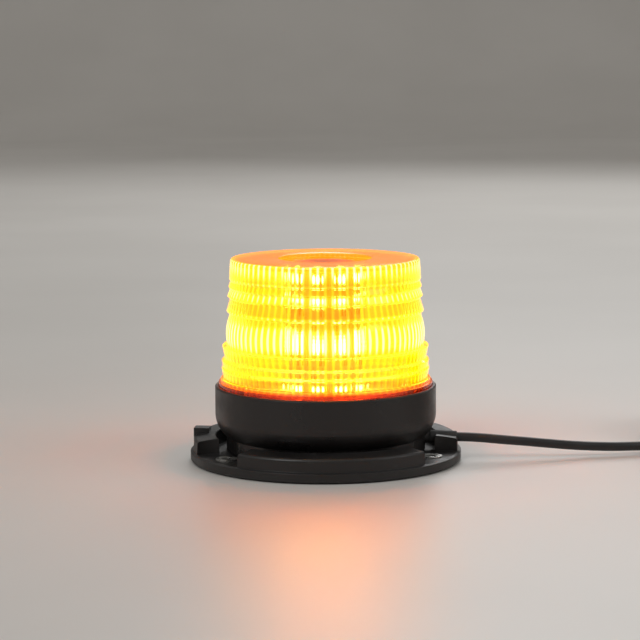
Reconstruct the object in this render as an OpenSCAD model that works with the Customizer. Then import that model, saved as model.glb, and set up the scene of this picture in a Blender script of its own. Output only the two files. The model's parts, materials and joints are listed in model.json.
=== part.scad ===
// Amber LED warning beacon on a magnetic foot, with a coiled lead that ends in
// a 12 V vehicle-socket plug. Millimetres, +Z up. The origin is the centre of
// the pad's lower face, on the surface that the beacon stands on.

/* [Lens] */
// Height of the lens top above the resting surface
lens_top_z = 97; // [97:0.5:98.5]
// Radius of the lens at its top edge
lens_top_r = 45.2; // [45:0.1:45.6]
// Heights of the prism tips above the bright band, from the top one down
upper_tip_z = [87.4, 83.7, 79.2, 72.0]; // [71:0.1:90]
// Radii of those tips
upper_tip_r = [45.7, 46.1, 46.6, 47.1]; // [45.6:0.1:47.6]
// Heights of the prism tips below the bright band, from the top one down
lower_tip_z = [55.4, 48.6, 44.7]; // [44:0.1:56]
// Radii of those tips
lower_tip_r = [49.3, 49.6, 49.7]; // [49:0.1:50]
// How far each prism steps back at its sharp edge
prism_step = 0.9; // [0.6:0.1:1.2]
// How far the bright band bulges between its edges
band_bulge = 1.2; // [0.6:0.1:1.6]
// Number of upright flutes inside the wall
flute_count = 84; // [60:4:96]
// Radius of the recess in the lens top
top_recess_r = 22.4; // [18:0.2:24]
// Depth of that recess
top_recess_depth = 2; // [1:0.1:2.4]

/* [Housing] */
// Outer radius of the housing
housing_r = 53; // [52.8:0.1:53.6]
// Height of the housing rim above the resting surface
housing_top_z = 36.3; // [36:0.1:37]
// Thickness of the housing wall
housing_wall = 2.5; // [2:0.1:3]

/* [Foot] */
// Radius of the foot
foot_r = 65; // [64.5:0.1:66]
// Height of the raised ring around the housing
ring_top_z = 12.4; // [11.5:0.1:13]
// Radius of the circle that the mounting holes lie on
hole_circle_r = 55.5; // [55:0.1:56]
// Radius of the hole in each mounting eyelet, for an M5 screw
hole_r = 2.65; // [2.6:0.05:2.8]
// Radius of the round pocket over each mounting hole
pocket_r = 18.5; // [17:0.5:19]
// Radius of each magnet's steel cup
cup_r = 15; // [13:0.5:15.5]

/* [Light source] */
// Distance from the axis to each flat face of the tower
tower_apothem = 15; // [14.5:0.1:15.2]
// Heights of the rows of emitters, from the bottom one up
led_row_z = [38, 58, 75.5, 89]; // [36:0.5:89]
// Width of one emitter package
led_w = 4.6; // [4:0.1:4.8]

/* [Lead] */
// Diameter of the lead
cord_d = 4.4; // [4:0.1:4.4]
// Height of the lead where it leaves the housing
cord_exit_z = 10.5; // [10.4:0.1:10.8]
// Radius of the middle turn of the stored coil
coil_mid_r = 28.4; // [28:0.1:29]
// Turns in the whole coil
coil_turns = 26; // [24:1:27]

/* [Plug] */
// Length of the grip
grip_len = 36; // [36:0.5:38]
// Radius of the grip
grip_r = 12; // [11.8:0.1:12.5]
// Radius of the barrel that goes into the vehicle socket
barrel_r = 10.35; // [10.2:0.05:10.4]
// Length of the barrel in front of the grip
barrel_len = 30; // [30:0.5:32]
// Travel of the two push buttons
button_travel = 1.2; // [0.8:0.1:1.2]
// Travel of the sprung tip
tip_travel = 3.5; // [2:0.1:3.5]
// Travel of each sprung side contact
side_travel = 1.4; // [1:0.1:1.5]

/* [Hidden] */
$fn = 96;

gap = 0.05;                 // clearance between a screw or pin and its hole
cut = 1;                    // how far a cutting solid passes the face it cuts

// Lens
lens_wall_r = 42.4;         // inner radius behind the upper prisms and the bright band
lens_foot_bore_r = 46;      // inner radius behind the lower prisms
flute_r = 8;                // radius of one flute
flute_depth = 0.15;         // how far a flute cuts into the wall
lens_edge_r = 1.2;          // rounding of the top edge
roof_t = 2.6;               // thickness of the lens top
recess_floor_t = 2;         // thickness of the recess floor
lip_r = 51.2;
lip_z = [34.8, 38.3];       // underside and top of the lip that sits in the housing
foot_band_r = 50.2;
foot_band_top_z = 39.8;
band_z = [upper_tip_z[3] - 1.2, lower_tip_z[0]];
notch_top_r = 45.1;         // radius between the upper prisms
notch_growth = 0.025;       // how much it grows per millimetre going down
lower_notch_r = [48.1, 49, 48.8];
lower_notch_z = [49.6, 45.7, 39.8];
band_foot_r = 46.9;
lens_screw_r = 43.4;        // radius of the circle of the three lens screws
lens_screw_angles = [90, 210, 330];
lens_boss_r = 3.4;
lens_boss_top_z = 42;

// Housing
plate_top_z = 5;            // top of the foot's plate, under the housing
floor_top_z = 7.6;
waist_r = 47.7;             // radius of the housing below its rounded shoulder
shoulder_c = [39, 23];      // centre of that rounding
shoulder_r = housing_r - shoulder_c[0];
shoulder_end = -asin((shoulder_c[1] - 12) / shoulder_r);
ledge_r = 48.5;
ledge_z = [30.5, 33.8];
rebate_r = 51.5;
column_r = 4.6;
column_top_z = 31;
counterbore_r = 3.2;
counterbore_top_z = 20;

// Foot
pad_r = 50;
pad_t = 1.4;
foot_bottom_z = 0.6;
hole_angles = [-147, -27, 93];
pocket_circle_r = 62;       // the pockets' centres lie farther out than the holes
eyelet_r = 4;
pocket_floor_z = plate_top_z + 0.2;
magnet_count = 4;
magnet_ring_r = 27;
base_screw_ring_r = 30;
lug_angle = 174;

// Shelf, tower and driver
shelf_z = [31, 32.6];
tower_z = [32.6, 92];
face_count = 10;            // flat faces of the tower, each with one strip of emitters
strip_t = 1.2;
strip_w = 8.6;
face_phase = 6;             // direction of the first face
strip_face = tower_apothem + strip_t;
led_t = 1.4;
tower_bore_r = 11.5;
tower_screw_r = 13.2;
driver_z = [15, 16.6];
standoff_ring_r = 34;
standoff_phase = 70;

// Lead: the points that it passes through, then the coil and the run to the plug
cord_y = -2;
cord_r = cord_d / 2;
cord_route = [[34, cord_y, cord_exit_z], [50, cord_y, cord_exit_z], [64, cord_y, 10.4],
              [74, -2, 9.9], [85, -2, 8.9], [97, -1, 7.7], [108, 0, 6.5], [119, 1, 5.4],
              [130, 3, 4.5], [140, 4, 4.1], [150, 6, 3.9], [163, 10, 3.3], [176, 15, 2.9],
              [189, 19, 2.8], [202, 20, 2.8]];
tie_t = 0.6;
tie_w = 12;
coil_c = [202, 58];
coil_layers = 6;
coil_pitch = cord_d + 0.05; // from one turn to the next
coil_half_w = coil_turns / coil_layers * coil_pitch / 2;
coil_top_z = tie_t + coil_layers * cord_d;
plug_lead_route = [[202, 20, 24.8], [216, 20, 25], [232, 20, 24], [248, 18, 22], [262, 13, 19],
                   [272, 4, 16], [277, -8, 13], [275, -21, 11.5], [267, -29.4, 11],
                   [261.5, -30, 11], [256, -30, 11], [236, -30, 11]];

// Plug: its own frame starts at the grip's tail and runs towards the nose along +X
plug_tail = [240, -30, 11];
grip_half = [11, 10.6];     // height of the flats below and above the axis
grip_wall = 2.2;
cavity_r = grip_r - grip_wall;
cavity_top_z = 8.4;
button_x = [11, 22];
button_foot_z = 7.1;        // underside of the buttons at rest
button_r = 3.45;
nose_x = grip_len + barrel_len;
cap_len = 9;
spring_x = [37.5, 45];
fuse_len = 20;
tip_r = 3;
post_x = 29.8;

// A smooth curve through a list of points, with n steps between each two
function blend(a, b, c, d, t) =
    0.5 * (2 * b + (c - a) * t + (2 * a - 5 * b + 4 * c - d) * t * t
           + (3 * b - a - 3 * c + d) * t * t * t);
function smooth(p, n) = concat(
    [for (i = [0 : len(p) - 2], k = [0 : n - 1])
        blend(p[max(i - 1, 0)], p[i], p[i + 1], p[min(i + 2, len(p) - 1)], k / n)],
    [p[len(p) - 1]]);
function unit(v) = v / norm(v);
function heading(p, i) = unit(p[min(i + 1, len(p) - 1)] - p[max(i - 1, 0)]);

// A round tube along a curve. ref is a direction that the curve never takes.
module tube(p, r, sides, ref) {
    rings = [for (i = [0 : len(p) - 1])
        let (t = heading(p, i), u = unit(cross(t, ref)), v = cross(u, t))
        for (k = [0 : sides - 1])
            p[i] + r * (cos(360 * k / sides) * u + sin(360 * k / sides) * v)];
    skin = [for (i = [0 : len(p) - 2], k = [0 : sides - 1])
        let (a = i * sides, n = (k + 1) % sides)
        [a + k, a + n, a + sides + n, a + sides + k]];
    first = [[for (k = [sides - 1 : -1 : 0]) k]];
    last = [[for (k = [0 : sides - 1]) (len(p) - 1) * sides + k]];
    polyhedron(rings, concat(skin, first, last), convexity = 6);
}

module ring_of(n, r, phase = 0) {
    for (i = [0 : n - 1])
        rotate([0, 0, phase + i * 360 / n]) translate([r, 0, 0]) children();
}

module at_angles(angles, r) {
    for (a = angles) rotate([0, 0, a]) translate([r, 0, 0]) children();
}

module rod_x(x0, x1, r0, r1) {
    translate([x0, 0, 0]) rotate([0, 90, 0]) cylinder(h = x1 - x0, r1 = r0, r2 = r1);
}

// A pan-head screw that points up from z = 0, with its head below
module screw(r, length, head_r, head_h) {
    difference() {
        union() {
            cylinder(h = length, r = r, $fn = 32);
            translate([0, 0, -head_h]) cylinder(h = head_h, r = head_r, $fn = 32);
        }
        for (a = [0, 90]) rotate([0, 0, a])
            translate([-head_r * 0.6, -head_r * 0.13, -head_h - cut])
                cube([head_r * 1.2, head_r * 0.26, cut + head_h * 0.5]);
    }
}

module box(size, at) {
    translate([at[0] - size[0] / 2, at[1] - size[1] / 2, at[2]]) cube(size);
}

// Lens --------------------------------------------------------------------

function notch_r(z) = notch_top_r + notch_growth * (upper_tip_z[0] - z);

lens_outline = concat(
    [[0, lens_top_z]],
    [for (a = [90 : -18 : 0])
        [lens_top_r + lens_edge_r * (cos(a) - 1), lens_top_z + lens_edge_r * (sin(a) - 1)]],
    [for (i = [0 : 2]) each [
        [upper_tip_r[i], upper_tip_z[i]],
        [notch_r(upper_tip_z[i]), upper_tip_z[i] - prism_step]]],
    [[upper_tip_r[3], upper_tip_z[3]]],
    [for (t = [0 : 0.125 : 1])
        [notch_r(band_z[0]) + (band_foot_r - notch_r(band_z[0])) * t + band_bulge * sin(180 * t),
         band_z[0] + (band_z[1] - band_z[0]) * t]],
    [for (i = [0 : 2]) each [
        [lower_tip_r[i], lower_tip_z[i]],
        [lower_notch_r[i], lower_notch_z[i]]]],
    [[foot_band_r, foot_band_top_z], [foot_band_r, lip_z[1]], [lip_r, lip_z[1]],
     [lip_r, lip_z[0]], [0, lip_z[0]]]);

module fluted_bore(r, z0, z1) {
    translate([0, 0, z0]) linear_extrude(height = z1 - z0) {
        circle(r = r);
        ring_of(flute_count, r + flute_depth - flute_r) circle(r = flute_r);
    }
}

module lens_dome() {
    roof_z = lens_top_z - roof_t;
    recess_z = lens_top_z - top_recess_depth;
    color([1, 0.6, 0.05, 0.7]) {
        difference() {
            rotate_extrude() polygon(lens_outline);
            difference() {
                fluted_bore(lens_wall_r, lip_z[0] + cut, roof_z);
                translate([0, 0, recess_z - recess_floor_t])
                    cylinder(h = lens_top_z, r = top_recess_r + 2);
            }
            fluted_bore(lens_foot_bore_r, lip_z[0] - cut, lower_tip_z[0] - 1);
            translate([0, 0, recess_z]) cylinder(h = top_recess_depth + cut, r = top_recess_r);
        }
        at_angles(lens_screw_angles, lens_screw_r) difference() {
            translate([0, 0, shelf_z[1]])
                cylinder(h = lens_boss_top_z - shelf_z[1], r = lens_boss_r, $fn = 48);
            translate([0, 0, shelf_z[1] - cut])
                cylinder(h = lens_boss_top_z - shelf_z[1] - 1, r = 1.5 + gap, $fn = 32);
        }
    }
}

module lens_gasket() {
    color("dimgray") rotate_extrude()
        translate([48.9, ledge_z[1]]) square([2.3, lip_z[0] - ledge_z[1]]);
}

// Housing and foot --------------------------------------------------------

function shoulder(r) = [for (k = [0 : 8]) let (a = shoulder_end * (1 - k / 8))
    [shoulder_c[0] + r * cos(a), shoulder_c[1] + r * sin(a)]];
function backward(p) = [for (k = [len(p) - 1 : -1 : 0]) p[k]];

housing_outline = concat(
    [[0, plate_top_z], [waist_r - 0.7, plate_top_z], [waist_r, plate_top_z + 0.7]],
    shoulder(shoulder_r),
    [[housing_r, housing_top_z - 0.6], [housing_r - 0.6, housing_top_z],
     [rebate_r, housing_top_z], [rebate_r, ledge_z[1]], [ledge_r, ledge_z[1]],
     [ledge_r, ledge_z[0]], [housing_r - housing_wall, ledge_z[0] - 2]],
    backward(shoulder(shoulder_r - housing_wall)),
    [[waist_r - housing_wall, 12], [waist_r - housing_wall, floor_top_z], [0, floor_top_z]]);

module housing() {
    color([0.06, 0.06, 0.06]) difference() {
        union() {
            rotate_extrude() polygon(housing_outline);
            at_angles(lens_screw_angles, lens_screw_r) translate([0, 0, floor_top_z - cut])
                cylinder(h = column_top_z - floor_top_z + cut, r = column_r, $fn = 48);
            ring_of(4, base_screw_ring_r, 45) translate([0, 0, floor_top_z - cut])
                cylinder(h = 5 + cut, r = 3.6, $fn = 48);
        }
        at_angles(lens_screw_angles, lens_screw_r) {
            translate([0, 0, plate_top_z - cut])
                cylinder(h = counterbore_top_z - plate_top_z + cut, r = counterbore_r, $fn = 48);
            cylinder(h = column_top_z + cut, r = 1.5 + gap, $fn = 32);
        }
        ring_of(4, base_screw_ring_r, 45) translate([0, 0, plate_top_z - cut])
            cylinder(h = 8, r = 1.5 + gap, $fn = 32);
        translate([0, cord_y, cord_exit_z]) rod_x(40, 50, 2.85, 2.85);
        for (y = [-6.5, 6.5]) translate([40, cord_y + y, plate_top_z + 0.8])
            cylinder(h = 4, r = 1 + gap, $fn = 32);
    }
}

foot_outline = concat(
    [[0, pad_t], [pad_r + 0.3, pad_t], [pad_r + 0.3, foot_bottom_z],
     [foot_r - 0.5, foot_bottom_z], [foot_r, foot_bottom_z + 0.5],
     [foot_r, plate_top_z - 0.4], [foot_r - 1.4, plate_top_z + 0.3]],
    [for (a = [0 : 15 : 75])
        [foot_r - 3.1 + 1.5 * cos(a), ring_top_z - 2.5 + 1.5 * sin(a)]],
    [[53.3, ring_top_z], [52.8, ring_top_z - 0.5], [52.8, plate_top_z], [0, plate_top_z]]);

module foot_flange() {
    color([0.05, 0.05, 0.05]) difference() {
        union() {
            rotate_extrude() polygon(foot_outline);
            rotate([0, 0, lug_angle]) box([7.4, 7, 9.6], [60, 0, plate_top_z - 0.2]);
        }
        at_angles(hole_angles, pocket_circle_r) translate([0, 0, pocket_floor_z])
            cylinder(h = 12, r = pocket_r);
        at_angles(hole_angles, hole_circle_r) cylinder(h = 12, r = eyelet_r + gap, $fn = 48);
        ring_of(magnet_count, magnet_ring_r) cylinder(h = 12, r = cup_r + 0.2);
        ring_of(4, base_screw_ring_r, 45) {
            cylinder(h = 12, r = 1.5 + gap, $fn = 32);
            cylinder(h = 3.4, r = 3.3, $fn = 32);
        }
        // the channel that the lead leaves by, open at the top
        translate([51, cord_y - 3.4, cord_exit_z]) cube([20, 6.8, 10]);
        translate([0, cord_y, cord_exit_z]) rod_x(51, 71, 3.4, 3.4);
    }
}

module rubber_pad() {
    color([0.12, 0.12, 0.12]) difference() {
        cylinder(h = pad_t, r = pad_r);
        ring_of(4, base_screw_ring_r, 45) translate([0, 0, -cut])
            cylinder(h = 4, r = 3.6, $fn = 32);
    }
}

module magnet_cups() {
    color("silver") ring_of(magnet_count, magnet_ring_r) translate([0, 0, pad_t])
        difference() {
            cylinder(h = 3.5, r = cup_r);
            translate([0, 0, -cut]) cylinder(h = 2.6 + cut, r = cup_r - 1.4);
        }
}

module magnets() {
    color([0.55, 0.55, 0.58]) ring_of(magnet_count, magnet_ring_r) translate([0, 0, pad_t])
        cylinder(h = 2.6, r = cup_r - 1.5);
}

module mount_eyelets() {
    color("gainsboro") at_angles(hole_angles, hole_circle_r) difference() {
        union() {
            translate([0, 0, foot_bottom_z])
                cylinder(h = pocket_floor_z - foot_bottom_z, r = eyelet_r, $fn = 48);
            translate([0, 0, pocket_floor_z]) cylinder(h = 0.6, r = 5.2, $fn = 48);
        }
        cylinder(h = 12, r = hole_r, $fn = 48);
    }
}

module base_screws() {
    color("silver") ring_of(4, base_screw_ring_r, 45) translate([0, 0, 3.4])
        screw(1.5, 8.4, 3, 1.8);
}

module lens_screws() {
    color("silver") at_angles(lens_screw_angles, lens_screw_r)
        translate([0, 0, counterbore_top_z]) screw(1.5, 20, 2.9, 2.2);
}

// Shelf and light tower ---------------------------------------------------

module reflector_shelf() {
    color("white") difference() {
        union() {
            translate([0, 0, shelf_z[0]]) cylinder(h = shelf_z[1] - shelf_z[0], r = 48.2);
            translate([0, 0, shelf_z[0]]) difference() {
                cylinder(h = 2.6, r = 38);
                cylinder(h = 3.6, r = 36.6);
            }
        }
        translate([0, 0, shelf_z[0] - cut]) cylinder(h = 4, r = 9);
        at_angles(lens_screw_angles, lens_screw_r) translate([0, 0, shelf_z[0] - cut])
            cylinder(h = 4, r = 1.8, $fn = 32);
        ring_of(3, tower_screw_r, face_phase) translate([0, 0, shelf_z[0] - cut])
            cylinder(h = 4, r = 1.2 + gap, $fn = 32);
    }
}

module on_faces() {
    for (i = [0 : face_count - 1]) rotate([0, 0, face_phase + i * 360 / face_count])
        children();
}

function between_rows(i) = (led_row_z[i] + led_row_z[i + 1]) / 2;

module at_leds() {
    on_faces() for (z = led_row_z) translate([strip_face, 0, z]) children();
}

module led_tower() {
    color("silver") difference() {
        translate([0, 0, tower_z[0]]) rotate([0, 0, face_phase - 180 / face_count])
            cylinder(h = tower_z[1] - tower_z[0], r = tower_apothem / cos(180 / face_count),
                     $fn = face_count);
        translate([0, 0, tower_z[0] - cut])
            cylinder(h = tower_z[1] - tower_z[0] + 2 * cut, r = tower_bore_r);
        ring_of(3, tower_screw_r, face_phase) translate([0, 0, tower_z[0] - cut])
            cylinder(h = 9, r = 1.2 + gap, $fn = 32);
        at_strip_screws() translate([-4, 0, 0]) rod_x(0, 5, 0.9 + gap, 0.9 + gap);
    }
}

module at_strip_screws() {
    on_faces() for (i = [0, 2]) translate([tower_apothem, 0, between_rows(i)]) children();
}

module tower_screws() {
    color("silver") ring_of(3, tower_screw_r, face_phase) translate([0, 0, shelf_z[0]])
        screw(1.2, 9, 2.1, 1.4);
}

module led_boards() {
    color("ivory") difference() {
        on_faces() translate([tower_apothem, -strip_w / 2, tower_z[0] + 0.6])
            cube([strip_t, strip_w, tower_z[1] - tower_z[0] - 1]);
        at_strip_screws() rod_x(-cut, 4, 0.9 + gap, 0.9 + gap);
    }
}

module board_screws() {
    color("silver") at_strip_screws() translate([strip_t, 0, 0]) rotate([0, -90, 0])
        screw(0.9, 3, 1.7, 0.9);
}

module led_packages() {
    color("lightyellow") at_leds() difference() {
        translate([0, -led_w / 2, -led_w / 2]) cube([led_t, led_w, led_w]);
        rod_x(led_t - 0.4, led_t + cut, 2.2, 2.2);
    }
}

module led_domes() {
    color([1, 0.85, 0.2]) at_leds() translate([led_t - 0.4, 0, 0]) rotate([0, 90, 0])
        intersection() {
            translate([0, 0, -0.9]) sphere(r = 2.2, $fn = 32);
            cylinder(h = 4, r = 2.1, $fn = 32);
        }
}

module chip_resistors() {
    color([0.15, 0.15, 0.15]) on_faces() for (i = [0, 1], side = [-1, 1])
        translate([strip_face, side * 2.2 - 0.8, between_rows(i) + side * 4 - 1.6])
            cube([0.6, 1.6, 3.2]);
}

module tower_cap() {
    color([0.1, 0.1, 0.1]) difference() {
        union() {
            translate([0, 0, tower_z[1]]) cylinder(h = 0.8, r = 16.2);
            translate([0, 0, tower_z[1] - 3]) cylinder(h = 3, r = tower_bore_r - gap);
        }
        translate([0, 0, tower_z[1] - 3 - cut]) cylinder(h = 3 + cut, r = tower_bore_r - 1.5);
    }
}

// Driver ------------------------------------------------------------------

module driver_board() {
    color("darkgreen") difference() {
        translate([0, 0, driver_z[0]]) cylinder(h = driver_z[1] - driver_z[0], r = 38);
        ring_of(4, standoff_ring_r, standoff_phase) cylinder(h = 20, r = 1.5 + gap, $fn = 32);
    }
}

module board_standoffs() {
    color("goldenrod") ring_of(4, standoff_ring_r, standoff_phase)
        translate([0, 0, floor_top_z]) difference() {
            cylinder(h = driver_z[0] - floor_top_z, r = 3.2, $fn = 6);
            translate([0, 0, 1.5]) cylinder(h = 10, r = 1.5 + gap, $fn = 32);
        }
}

module driver_screws() {
    color("silver") ring_of(4, standoff_ring_r, standoff_phase)
        translate([0, 0, driver_z[1]]) rotate([180, 0, 0]) screw(1.5, 6, 2.8, 1.8);
}

module capacitors() {
    color("midnightblue") for (y = [-12, 12]) translate([-18, y, driver_z[1]])
        difference() {
            cylinder(h = 13, r = 5);
            translate([0, 0, 2]) rotate_extrude() translate([5, 0]) circle(r = 0.5, $fn = 16);
            translate([0, 0, 12.7]) box([0.5, 6, 2], [0, 0, 0]);
            translate([0, 0, 12.7]) box([6, 0.5, 2], [0, 0, 0]);
        }
}

module inductor() {
    color("saddlebrown") translate([16, -17, driver_z[1]]) rotate_extrude()
        polygon([[0, 0], [7, 0], [7, 1.6], [5.6, 2.2], [5.6, 7], [7, 7.6], [7, 9], [0, 9]]);
}

module driver_chips() {
    color([0.1, 0.1, 0.1]) {
        box([10, 6.5, 1.8], [-2, 2, driver_z[1]]);
        box([5, 4, 1.6], [12, -3, driver_z[1]]);
        box([6.6, 6.2, 2.3], [-3, -22, driver_z[1]]);
        box([6.6, 6.2, 2.3], [-3, 22, driver_z[1]]);
    }
}

module tower_connector() {
    color("ivory") translate([14, 16, driver_z[1]]) difference() {
        box([6, 8, 7], [0, 0, 0]);
        box([4, 6, 7], [0, 0, 3]);
    }
}

module lead(side, tint) {
    color(tint) tube(smooth([[34, cord_y + side, cord_exit_z], [31, cord_y + side, 10.8],
                             [28, cord_y + side, 12.2], [27.4, cord_y + side, driver_z[0] - 0.2]], 3),
                     0.7, 8, [0, 1, 0]);
}

module lead_red() { lead(1, "red"); }
module lead_black() { lead(-1, "black"); }

module tower_lead(side, tint) {
    s = side * [0.75, -0.75, 0];
    color(tint) tube(smooth([[14, 16, 21] + s, [13, 15, 25] + s, [9, 10.5, 28] + s,
                             [3.8, 4.8, 31] + s, [2.6, 3.6, 36] + s, [2, 3, 60] + s,
                             [2, 3, 86] + s], 3), 0.8, 8, [1, -1, 0]);
}

module tower_lead_red() { tower_lead(1, "red"); }
module tower_lead_black() { tower_lead(-1, "black"); }

// Lead and its fittings ---------------------------------------------------

module cable_boot() {
    color([0.08, 0.08, 0.08]) translate([0, cord_y, cord_exit_z]) rotate([0, 90, 0])
        rotate_extrude() polygon([
            [cord_r + gap, 44], [2.8, 44], [2.8, 50.1], [3.3, 50.1], [2.75, 62.6],
            [2.55, 63], [cord_r + gap, 63]]);
}

module cable_clamp() {
    color("dimgray") translate([40, cord_y, 0]) difference() {
        box([7, 18, 6.2], [0, 0, floor_top_z]);
        translate([0, 0, cord_exit_z]) rod_x(-5, 5, cord_r + gap, cord_r + gap);
        box([9, 2 * (cord_r + gap), cord_exit_z - floor_top_z + cut], [0, 0, floor_top_z - cut]);
        for (y = [-6.5, 6.5]) translate([0, y, 0]) {
            cylinder(h = 20, r = 1 + gap, $fn = 32);
            translate([0, 0, 12.2]) cylinder(h = 5, r = 2.1, $fn = 32);
        }
    }
}

module clamp_screws() {
    color("silver") for (y = [-6.5, 6.5]) translate([40, cord_y + y, 12.2])
        rotate([180, 0, 0]) screw(1, 6, 1.9, 1.3);
}

module power_cord() {
    color([0.05, 0.05, 0.05]) tube(smooth(cord_route, 2), cord_r, 10, [0, 0, 1]);
}

module cord_coil() {
    half = [coil_half_w, coil_layers * cord_d / 2 - cord_r];
    color([0.07, 0.07, 0.07]) translate([coil_c[0], coil_c[1], tie_t + half[1] + cord_r])
        rotate_extrude() translate([coil_mid_r, 0]) polygon(
            [for (q = [0 : 3], k = [0 : 3]) let (a = 90 * q + 30 * k)
                [(q == 0 || q == 3 ? half[0] : -half[0]) + cord_r * cos(a),
                 (q < 2 ? half[1] : -half[1]) + cord_r * sin(a)]]);
}

module coil_tie() {
    // the inner leg stands clear of the coil's curved inside at both of its edges
    reach = coil_half_w + cord_r;
    x0 = sqrt(pow(coil_mid_r - reach, 2) - pow(tie_w / 2, 2)) - 0.2;
    w = coil_mid_r + reach + 0.2 - x0;
    top = coil_top_z + 0.2;
    color("dimgray") translate([coil_c[0] + x0 + w / 2, coil_c[1], 0]) {
        difference() {
            box([w + 2 * tie_t, tie_w, top + tie_t], [0, 0, 0]);
            box([w, tie_w + 2 * cut, top - tie_t], [0, 0, tie_t]);
        }
        box([13, tie_w, 1], [-2, 0, top + tie_t]);
    }
}

module plug_lead() {
    color([0.05, 0.05, 0.05]) tube(smooth(plug_lead_route, 2), cord_r, 10, [0, 0, 1]);
}

// Plug --------------------------------------------------------------------

module in_plug() { translate(plug_tail) rotate([0, 0, 180]) children(); }

module plug_relief() {
    color([0.07, 0.07, 0.07]) in_plug() rotate([0, 90, 0]) rotate_extrude() polygon(concat(
        [[cord_r + gap, -20], [3, -20]],
        [for (i = [0 : 3]) each [[3.4 + 0.35 * i, -17.4 + 4 * i], [3.4 + 0.35 * i, -15.6 + 4 * i],
                                 [2.9 + 0.35 * i, -15.3 + 4 * i], [2.9 + 0.35 * i, -13.9 + 4 * i]]],
        [[5, -1.4], [5, 0], [3.9, 0], [3.9, 2], [5, 2], [5, 3.5], [cord_r + gap, 3.5]]));
}

module grip_blank() {
    intersection() {
        rod_x(0, grip_len, grip_r, grip_r);
        translate([-cut, -grip_r, -grip_half[0]])
            cube([grip_len + 2 * cut, 2 * grip_r, grip_half[0] + grip_half[1]]);
    }
}

module grip_cavity() {
    intersection() {
        rod_x(2, grip_len + cut, cavity_r, cavity_r);
        translate([-cut, -grip_r, -cavity_top_z])
            cube([grip_len + 3 * cut, 2 * grip_r, 2 * cavity_top_z]);
    }
}

module grip_half_shell(upper) {
    difference() {
        intersection() {
            union() {
                difference() {
                    grip_blank();
                    grip_cavity();
                }
                for (y = [-5, 5]) translate([post_x, y, -grip_half[0] + 1])
                    cylinder(h = grip_half[0] + grip_half[1] - 2, r = 2.2, $fn = 32);
                // ribs that the circuit board rests on
                for (x = [7, 24.5]) box([2, 11, cavity_top_z], [x, 0, -cavity_top_z]);
            }
            translate([-cut, -2 * grip_r, upper ? 0 : -2 * grip_r])
                cube([grip_len + 2 * cut, 4 * grip_r, 2 * grip_r]);
        }
        rod_x(-cut, 3, 3.9 + gap, 3.9 + gap);
        for (y = [-5, 5]) translate([post_x, y, 0]) {
            translate([0, 0, -20]) cylinder(h = 25, r = 1.1 + gap, $fn = 32);
            translate([0, 0, -20]) cylinder(h = 11, r = 2.1 + gap, $fn = 32);
        }
    }
}

module plug_grip_upper() {
    color([0.07, 0.07, 0.07]) in_plug() difference() {
        grip_half_shell(true);
        for (x = button_x) translate([x, 0, 5]) cylinder(h = 10, r = button_r + 0.15);
        translate([post_x, 0, 5]) cylinder(h = 10, r = 1.5 + gap, $fn = 32);
    }
}

module plug_grip_lower() {
    color([0.07, 0.07, 0.07]) in_plug() difference() {
        grip_half_shell(false);
        // finger grooves under the grip
        for (x = [6 : 4 : 26], s = [-1, 1]) translate([x, s * grip_r, -grip_r])
            cylinder(h = grip_r - 1, r = 0.8, $fn = 24);
    }
}

module plug_barrel() {
    color([0.1, 0.1, 0.1]) in_plug() difference() {
        rotate([0, 90, 0]) rotate_extrude() polygon([
            [0, 34], [cavity_r - 1.5, 34], [cavity_r - 1.5, grip_len], [10.9, grip_len],
            [10.9, grip_len + 2], [barrel_r, grip_len + 2], [barrel_r, nose_x - 4],
            [8.9, nose_x], [7.4, nose_x], [7.4, nose_x - 7], [7.6, nose_x - 7],
            [7.6, spring_x[0]], [0, spring_x[0]]]);
        for (s = [-1, 1]) translate([44, s * 9 - 3, -2]) cube([14, 6, 4]);
    }
}

module plug_nose_cap() {
    color("gainsboro") in_plug() difference() {
        rotate([0, 90, 0]) rotate_extrude() polygon([
            [3.2, nose_x + 0.8], [5.2, nose_x + 0.8], [5.2, nose_x - 6], [7.3, nose_x - 6],
            [7.3, nose_x], [8.4, nose_x], [8.4, nose_x + 5], [6.6, nose_x + cap_len],
            [3.2, nose_x + cap_len]]);
        for (a = [0 : 20 : 340]) rotate([a, 0, 0])
            translate([nose_x + 0.8, 8.5, 0]) rotate([0, 90, 0])
                cylinder(h = 3.6, r = 0.45, $fn = 16);
    }
}

module plug_board() {
    color("darkgreen") in_plug() translate([5, -7.5, 1]) cube([21.5, 15, 1.2]);
}

module tact_switches() {
    color([0.2, 0.2, 0.2]) in_plug() for (x = button_x) translate([x, 0, 2.2]) {
        box([6, 6, 2.8], [0, 0, 0]);
        cylinder(h = button_foot_z - button_travel - 0.1 - 2.2, r = 1.7, $fn = 32);
    }
}

module plug_fuse() {
    x = spring_x[1];
    color("lightgray") in_plug() {
        rod_x(x, x + 5, 2.6, 2.6);
        rod_x(x + 5, x + fuse_len - 5, 2.4, 2.4);
        rod_x(x + fuse_len - 5, x + fuse_len, 2.6, 2.6);
    }
}

module tip_spring() {
    turns = 5;
    steps = 10;
    wire = 0.35;
    run = spring_x[1] - spring_x[0] - 2 * wire;
    helix = [for (k = [0 : turns * steps])
        [spring_x[0] + wire + run * k / (turns * steps),
         2.2 * cos(360 * k / steps), 2.2 * sin(360 * k / steps)]];
    color("silver") in_plug() tube(helix, wire, 6, [1, 0, 0]);
}

module plug_screws() {
    color("silver") in_plug() for (y = [-5, 5]) translate([post_x, y, -9])
        screw(1.1, 13, 2, 1.4);
}

module plug_indicator() {
    color("red") in_plug() translate([post_x, 0, 6.5]) {
        cylinder(h = 4.2, r = 1.5, $fn = 32);
        translate([0, 0, 4.2]) intersection() {
            translate([0, 0, -1]) sphere(r = 1.8, $fn = 32);
            cylinder(h = 3, r = 1.5, $fn = 32);
        }
    }
}

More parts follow.
